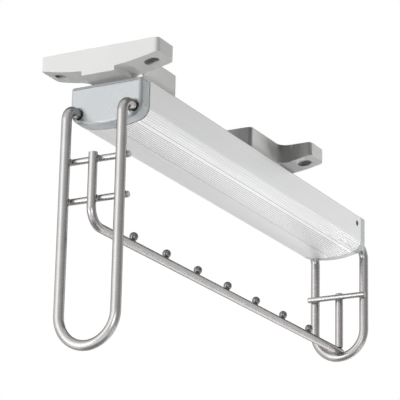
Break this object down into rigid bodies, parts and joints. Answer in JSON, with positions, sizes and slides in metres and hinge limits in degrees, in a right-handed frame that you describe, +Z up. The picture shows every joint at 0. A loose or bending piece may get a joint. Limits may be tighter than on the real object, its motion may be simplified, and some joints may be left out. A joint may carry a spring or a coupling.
{
  "type": "pull-out clothes rail",
  "caption": "Pull-out clothes rail for a wardrobe: brackets under a shelf, a ball slide in a ribbed aluminium cover, and a hanger bar with ball pegs between wire handles.",
  "frame": {"origin": "middle of the four shelf screw holes, on the plane of the shelf", "axes": "+X across the rail, +Y towards the rear, +Z up to the shelf; the rail pulls out towards -Y"},
  "size_m": [0.104, 0.447, 0.239],
  "materials": {
    "white_plastic": "moulded, satin",
    "grey_plastic": "moulded, silver grey, half gloss",
    "satin_aluminium": "extruded, satin anodised",
    "zinc_steel": "rolled and zinc plated",
    "bright_steel": "bright plated wire",
    "ball_steel": "polished balls",
    "cage_plastic": "moulded strip",
    "screw_zinc": "zinc plated screws",
    "black_steel": "blackened screws",
    "peg_steel": "dark bright balls",
    "black_rubber": "moulded"
  },
  "bodies": {
    "mounting": {"front_bracket": "white_plastic", "rear_bracket": "white_plastic", "stem_screws": "screw_zinc", "slide_outer_member": "zinc_steel", "closing_buffer": "black_rubber"},
    "middle": {"slide_middle_member": "zinc_steel"},
    "outer_cages": {"outer_cage_left": "cage_plastic", "outer_cage_right": "cage_plastic", "outer_balls_left": "ball_steel", "outer_balls_right": "ball_steel"},
    "inner_cages": {"inner_cage_left": "cage_plastic", "inner_cage_right": "cage_plastic", "inner_balls_left": "ball_steel", "inner_balls_right": "ball_steel"},
    "carriage": {"slide_inner_member": "zinc_steel", "carriage_screw_set": "screw_zinc", "cover_profile": "satin_aluminium", "front_cap": "grey_plastic", "rear_cap": "grey_plastic", "rear_cap_screws": "black_steel", "front_handle": "bright_steel", "rear_handle": "bright_steel", "hanger_bar": "bright_steel", "rear_upright": "bright_steel", "front_upper_rod": "bright_steel", "front_lower_rod": "bright_steel", "rear_rod": "bright_steel", "hanger_pegs": "peg_steel"}
  },
  "joints": [
    {"name": "pull_out", "type": "slide", "parent": "mounting", "child": "carriage", "axis": [0, -1, 0], "range_m": [0, 0.33]},
    {"name": "middle_travel", "type": "slide", "parent": "mounting", "child": "middle", "axis": [0, -1, 0], "range_m": [0, 0.165]},
    {"name": "outer_cage_travel", "type": "slide", "parent": "mounting", "child": "outer_cages", "axis": [0, -1, 0], "range_m": [0, 0.0825]},
    {"name": "inner_cage_travel", "type": "slide", "parent": "mounting", "child": "inner_cages", "axis": [0, -1, 0], "range_m": [0, 0.2475]}
  ],
  "couplings": [
    {"joint": "middle_travel", "follows": "pull_out", "ratio": 0.5},
    {"joint": "outer_cage_travel", "follows": "pull_out", "ratio": 0.25},
    {"joint": "inner_cage_travel", "follows": "pull_out", "ratio": 0.75}
  ]
}
